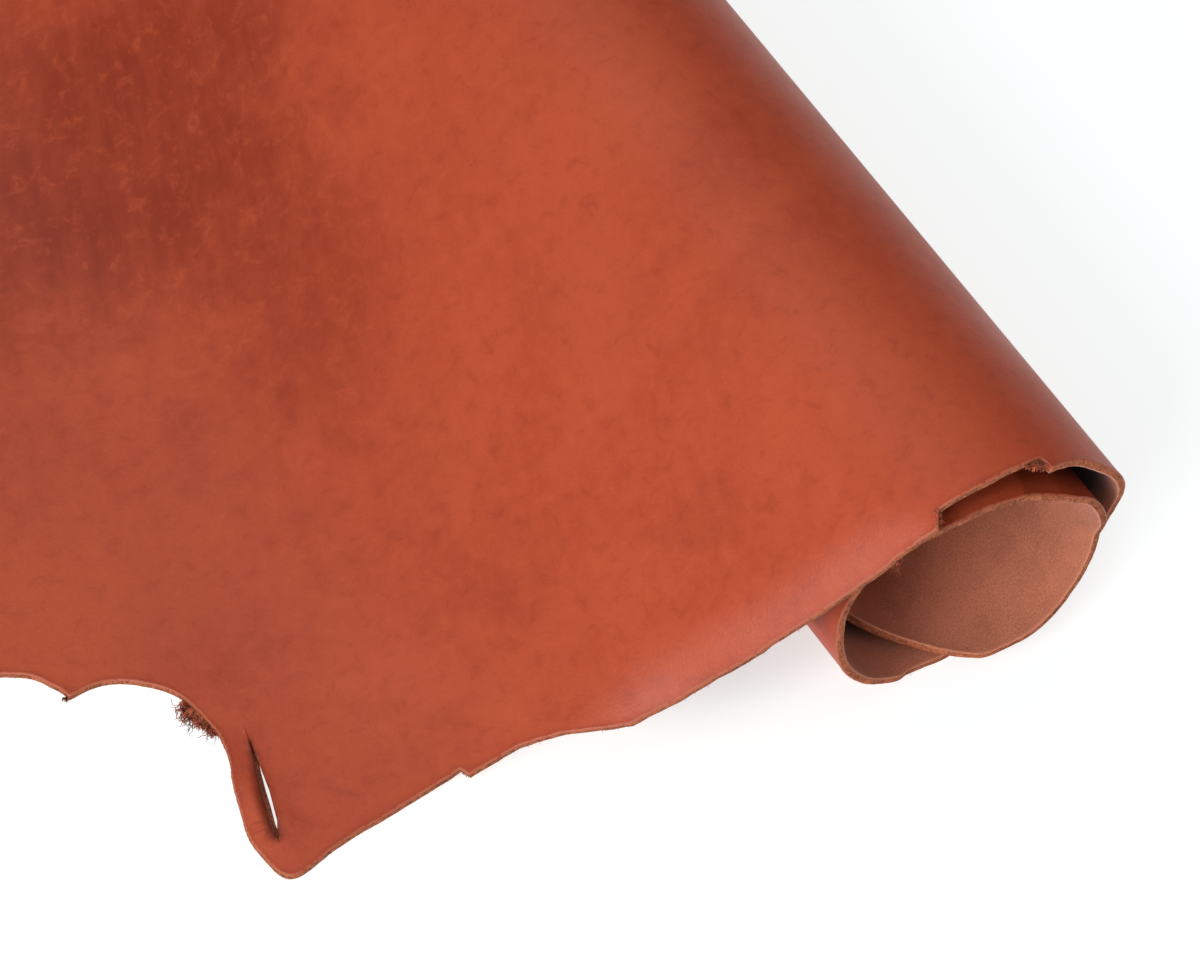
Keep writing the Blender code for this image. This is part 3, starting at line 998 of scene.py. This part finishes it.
class LEATHER_OT_torn_fibres(bpy.types.Operator):
    """Grow the tufts where hide fibres were torn out of the cut"""

    bl_idname = "leather.torn_fibres"
    bl_label = "Grow the Torn Fibres"

    def execute(self, context):
        lay, rng, strands = Lay(context.scene.hide_sizes), random.Random(11), []
        for _name, u0, v0, u1, v1, count, heading, length, radius, height in TEARS:
            clumps = [
                (rng.random(), rng.gauss(0, 0.3), rng.uniform(0.5, 1.1))
                for _ in range(max(3, count // CLUMP))
            ]
            for _ in range(count):
                where, turn, share = rng.choice(clumps)
                where = min(max(where + rng.gauss(0, 0.05), 0.0), 1.0)
                inset = rng.uniform(-1.2, -0.3)
                angle = math.radians(heading) + turn + rng.gauss(0, 0.2)
                root = (
                    u0 + (u1 - u0) * where + math.cos(angle) * inset,
                    v0 + (v1 - v0) * where + math.sin(angle) * inset,
                    (height + rng.uniform(-0.16, 0.16)) * lay.thickness,
                )
                size = radius * rng.uniform(0.7, 1.3)
                reach = length * share * rng.uniform(0.5, 1.1)
                strands.append(grown(rng, lay, root, angle, reach, size, *TUFT_CURL))
        colours = context.scene.hide_colours
        material = loose_fibre("torn_fibre", colours.dark_fibre, shared_groups())
        add_piece(context, "torn_fibres", strands_mesh("torn_fibres", strands), material)
        return {"FINISHED"}


class LEATHER_OT_edge_nap(bpy.types.Operator):
    """Grow the short nap along the cut edge"""

    bl_idname = "leather.edge_nap"
    bl_label = "Grow the Edge Nap"

    def execute(self, context):
        lay, rng, strands = Lay(context.scene.hide_sizes), random.Random(5), []
        outline = cut_outline()
        for start, end in zip(outline, outline[1:] + outline[:1]):
            run = end - start
            out = math.atan2(-run.x, run.y)
            share = next((row[3] for row in NAP if row[1] <= start.x < row[2]), 0)
            expected = run.length * share
            for _ in range(int(expected) + (rng.random() < expected % 1)):
                place = start + run * rng.random()
                height = rng.uniform(-0.45, 0.3) * lay.thickness
                angle = out + rng.gauss(0, 0.7)
                root = (place.x - math.cos(out) * 0.5, place.y - math.sin(out) * 0.5, height)
                length = 0.6 + rng.expovariate(3.0)
                length = min(length, 1.7)
                strands.append(grown(rng, lay, root, angle, length, rng.uniform(0.05, 0.1), *NAP_CURL))
        colours = context.scene.hide_colours
        material = loose_fibre("edge_fibre", colours.cut, shared_groups())
        add_piece(context, "edge_nap", strands_mesh("edge_nap", strands), material)
        return {"FINISHED"}


class LEATHER_OT_hide(bpy.types.Operator):
    """Cut the hide from the flat and lay it along its cross-section, with the fibres on it"""

    bl_idname = "leather.hide"
    bl_label = "Lay the Hide"

    def execute(self, context):
        lay = Lay(context.scene.hide_sizes)
        bm = hide_mesh(lay)
        flat = bm.loops.layers.uv.new("flat_hide")
        for face in bm.faces:
            for loop in face.loops:
                loop[flat].uv = (loop.vert.co.x * MM, loop.vert.co.y * MM)
        points = cut_outline() + [Vector(point) for point in SLIT]
        near = kdtree.KDTree(len(points))
        for index, point in enumerate(points):
            near.insert(point.to_3d(), index)
        near.balance()
        distance = bm.verts.layers.float.new("edge_distance")
        shade = bm.verts.layers.float.new("painted_shade")
        for vert in bm.verts:
            vert[distance] = min(near.find((vert.co.x, vert.co.y, 0))[2], 40.0)
            # Painted shade: deep in the roll's gaps, and down the slit's turned lip.
            vert[shade] = max(lay.painted_shade(*vert.co), SHADE_LIP * turned_lip(*vert.co.xy))

        for vert in bm.verts:
            vert.co = lay.place(*vert.co)
        bmesh.ops.recalc_face_normals(bm, faces=bm.faces)

        for edge in bm.edges:
            edge.smooth = edge.calc_face_angle(0.0) < SHARP_ANGLE
        mesh = bpy.data.meshes.new("hide")
        bm.to_mesh(mesh)
        bm.free()
        mesh.shade_smooth()
        hide = bpy.data.objects.new("hide", mesh)
        context.scene.collection.objects.link(hide)
        colours, groups = context.scene.hide_colours, shared_groups()
        for make in (grain_side, flesh_side, cut_edge):
            mesh.materials.append(make(colours, groups))
        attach(hide, BODY)
        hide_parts(NODE)
        return {"FINISHED"}


class LEATHER_OT_stage(bpy.types.Operator):
    """Set the white table, the soft lights and the camera"""

    bl_idname = "leather.stage"
    bl_label = "Set the Table and Lights"

    def execute(self, context):
        scene, studio = context.scene, context.scene.studio
        datum = Lay(scene.hide_sizes).datum * MM

        bm = bmesh.new()
        bmesh.ops.create_grid(bm, x_segments=1, y_segments=1, size=6.0)
        mesh = bpy.data.meshes.new("table")
        bm.to_mesh(mesh)
        bm.free()
        slope_shadow = (datum.x / MM + SLOPE_SHADOW[0], datum.y / MM + SLOPE_SHADOW[1])
        mesh.materials.append(table_top(slope_shadow))
        table = bpy.data.objects.new("table", mesh)
        scene.collection.objects.link(table)

        aim = datum + Vector((-0.06966, 0.14299, 0.0))
        forward = Vector(
            (
                math.sin(studio.azimuth) * math.cos(studio.elevation),
                math.cos(studio.azimuth) * math.cos(studio.elevation),
                -math.sin(studio.elevation),
            )
        )
        camera = bpy.data.objects.new("camera", bpy.data.cameras.new("camera"))
        camera.data.lens = studio.lens
        camera.data.clip_end = 20.0
        camera.location = aim - forward * studio.distance
        camera.rotation_euler = forward.to_track_quat("-Z", "Y").to_euler()
        scene.collection.objects.link(camera)
        scene.camera = camera

        # (light, place from the roll's foot, width, power)
        lights = (
            ("key_light", (-1.9, -0.8, 1.35), 1.5, studio.key),
            ("top_light", (0.2, 0.7, 2.4), 2.6, studio.fill),
        )
        for name, place, width, power in lights:
            data = bpy.data.lights.new(name, "AREA")
            data.shape = "SQUARE"
            data.size = width
            data.energy = power
            light = bpy.data.objects.new(name, data)
            light.location = datum + Vector(place)
            light.rotation_euler = (aim - light.location).to_track_quat("-Z", "Y").to_euler()
            scene.collection.objects.link(light)

        scene.world = bpy.data.worlds.new("white_surround")
        scene.world.use_nodes = True
        background = scene.world.node_tree.nodes["Background"]
        background.inputs["Color"].default_value = (1, 1, 1, 1)
        background.inputs["Strength"].default_value = studio.ambient
        scene.view_settings.view_transform = "Standard"
        return {"FINISHED"}


class LEATHER_PT_panel(bpy.types.Panel):
    """Lists the steps that make the leather side"""

    bl_idname = "LEATHER_PT_panel"
    bl_label = "Leather Side"
    bl_space_type = "VIEW_3D"
    bl_region_type = "UI"
    bl_category = "Leather"

    def draw(self, context):
        for group in (context.scene.hide_sizes, context.scene.hide_colours, context.scene.studio):
            for name in group.__annotations__:
                self.layout.prop(group, name)
        for step in STEPS:
            self.layout.operator(step.bl_idname)


STEPS = (LEATHER_OT_stage, LEATHER_OT_torn_fibres, LEATHER_OT_edge_nap, LEATHER_OT_hide)
CLASSES = (HideSizes, HideColours, StudioSettings, *STEPS, LEATHER_PT_panel)


def register():
    for cls in CLASSES:
        bpy.utils.register_class(cls)
    bpy.types.Scene.hide_sizes = bpy.props.PointerProperty(type=HideSizes)
    bpy.types.Scene.hide_colours = bpy.props.PointerProperty(type=HideColours)
    bpy.types.Scene.studio = bpy.props.PointerProperty(type=StudioSettings)


def unregister():
    del bpy.types.Scene.studio
    del bpy.types.Scene.hide_colours
    del bpy.types.Scene.hide_sizes
    for cls in reversed(CLASSES):
        bpy.utils.unregister_class(cls)


def main():
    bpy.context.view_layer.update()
    register()
    bpy.ops.leather.stage()
    bpy.ops.leather.torn_fibres()
    bpy.ops.leather.edge_nap()
    bpy.ops.leather.hide()


if __name__ == "__main__":
    main()
